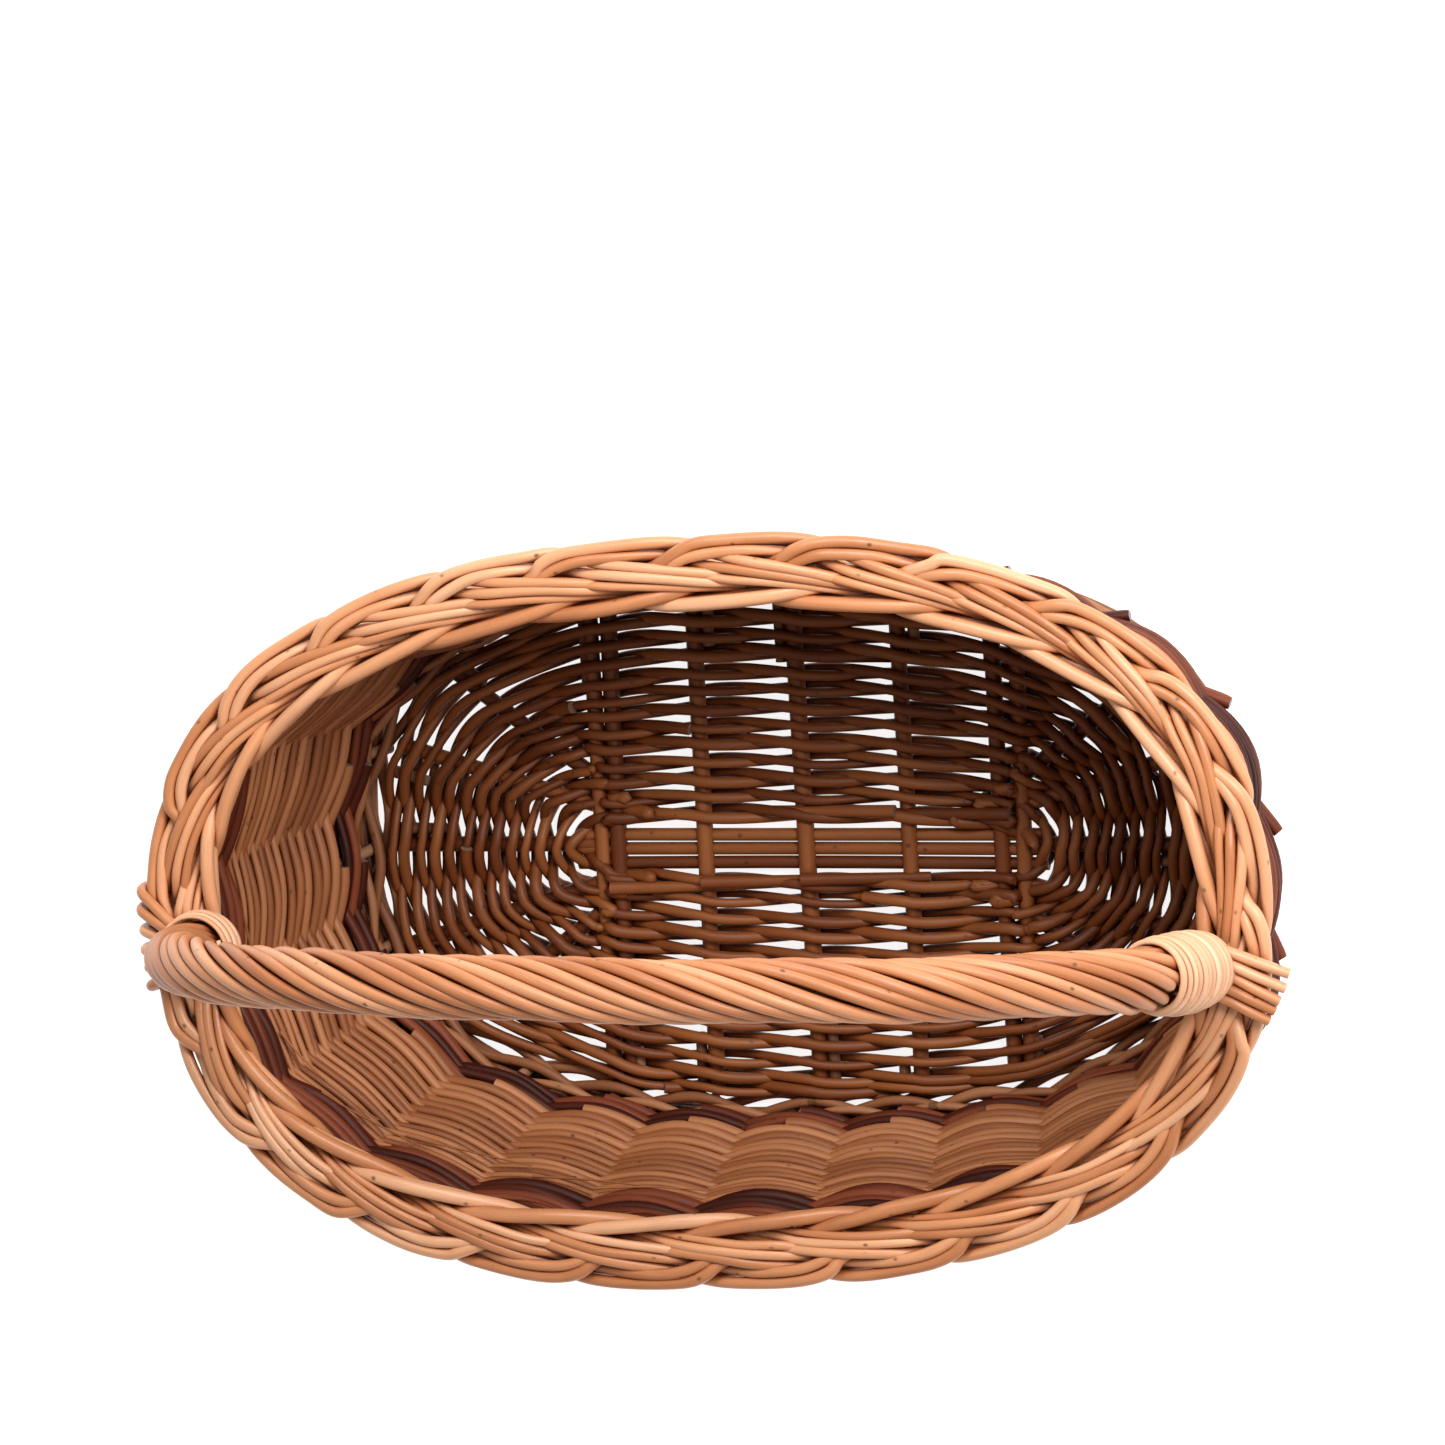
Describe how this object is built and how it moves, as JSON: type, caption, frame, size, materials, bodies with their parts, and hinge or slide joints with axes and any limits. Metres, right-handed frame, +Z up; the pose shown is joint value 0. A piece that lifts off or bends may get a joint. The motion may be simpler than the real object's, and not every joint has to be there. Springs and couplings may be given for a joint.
{
  "type": "woven fruit basket",
  "caption": "Oval willow fruit basket with a flared randed wall, two dark bands, a wide plaited border and a fixed roped bow handle.",
  "frame": {"origin": "centre of the overall bounding box in X and Y, on the surface that the base stands on", "axes": "+X along the basket's length, +Y across it towards the side that the handle leans to, +Z up"},
  "size_m": [0.4791, 0.305, 0.3118],
  "materials": {
    "willow_light": "satin peeled willow, honey coloured",
    "willow_wall": "satin peeled willow, warm brown",
    "willow_dark": "dark red-brown willow with its bark",
    "willow_base": "dull brown willow",
    "willow_stake": "dull peeled willow",
    "willow_skein": "split willow skein, satin"
  },
  "bodies": {
    "root": {"base_cross_stick_1": "willow_base", "base_cross_stick_2": "willow_base", "base_cross_stick_3": "willow_base", "base_cross_stick_4": "willow_base", "base_cross_stick_5": "willow_base", "base_cross_stick_6": "willow_base", "base_cross_stick_7": "willow_base", "base_end_rib_left_1": "willow_base", "base_end_rib_left_2": "willow_base", "base_end_rib_left_3": "willow_base", "base_end_rib_left_4": "willow_base", "base_end_rib_left_5": "willow_base", "base_end_rib_right_1": "willow_base", "base_end_rib_right_2": "willow_base", "base_end_rib_right_3": "willow_base", "base_end_rib_right_4": "willow_base", "base_end_rib_right_5": "willow_base", "base_long_stick_1": "willow_base", "base_long_stick_2": "willow_base", "base_long_stick_3": "willow_base", "base_weave": "willow_base", "stake_01": "willow_stake", "stake_02": "willow_stake", "stake_03": "willow_stake", "stake_04": "willow_stake", "stake_05": "willow_stake", "stake_06": "willow_stake", "stake_07": "willow_stake", "stake_08": "willow_stake", "stake_09": "willow_stake", "stake_10": "willow_stake", "stake_11": "willow_stake", "stake_12": "willow_stake", "stake_13": "willow_stake", "stake_14": "willow_stake", "stake_15": "willow_stake", "stake_16": "willow_stake", "stake_17": "willow_stake", "stake_18": "willow_stake", "stake_19": "willow_stake", "stake_20": "willow_stake", "stake_21": "willow_stake", "stake_22": "willow_stake", "stake_23": "willow_stake", "stake_24": "willow_stake", "wall_upsett": "willow_base", "wall_lower_dark_band": "willow_dark", "wall_light_band": "willow_wall", "wall_upper_dark_band": "willow_dark", "wall_top_light_rows": "willow_light", "border_outer_rods": "willow_light", "border_plait": "willow_light", "handle_bow_core": "willow_stake", "handle_rope_1": "willow_light", "handle_rope_2": "willow_light", "handle_rope_3": "willow_light", "handle_lashing_left": "willow_skein", "handle_lashing_right": "willow_skein", "border_tie_loops_left": "willow_light", "rope_rod_ends_right": "willow_light"}
  },
  "joints": []
}
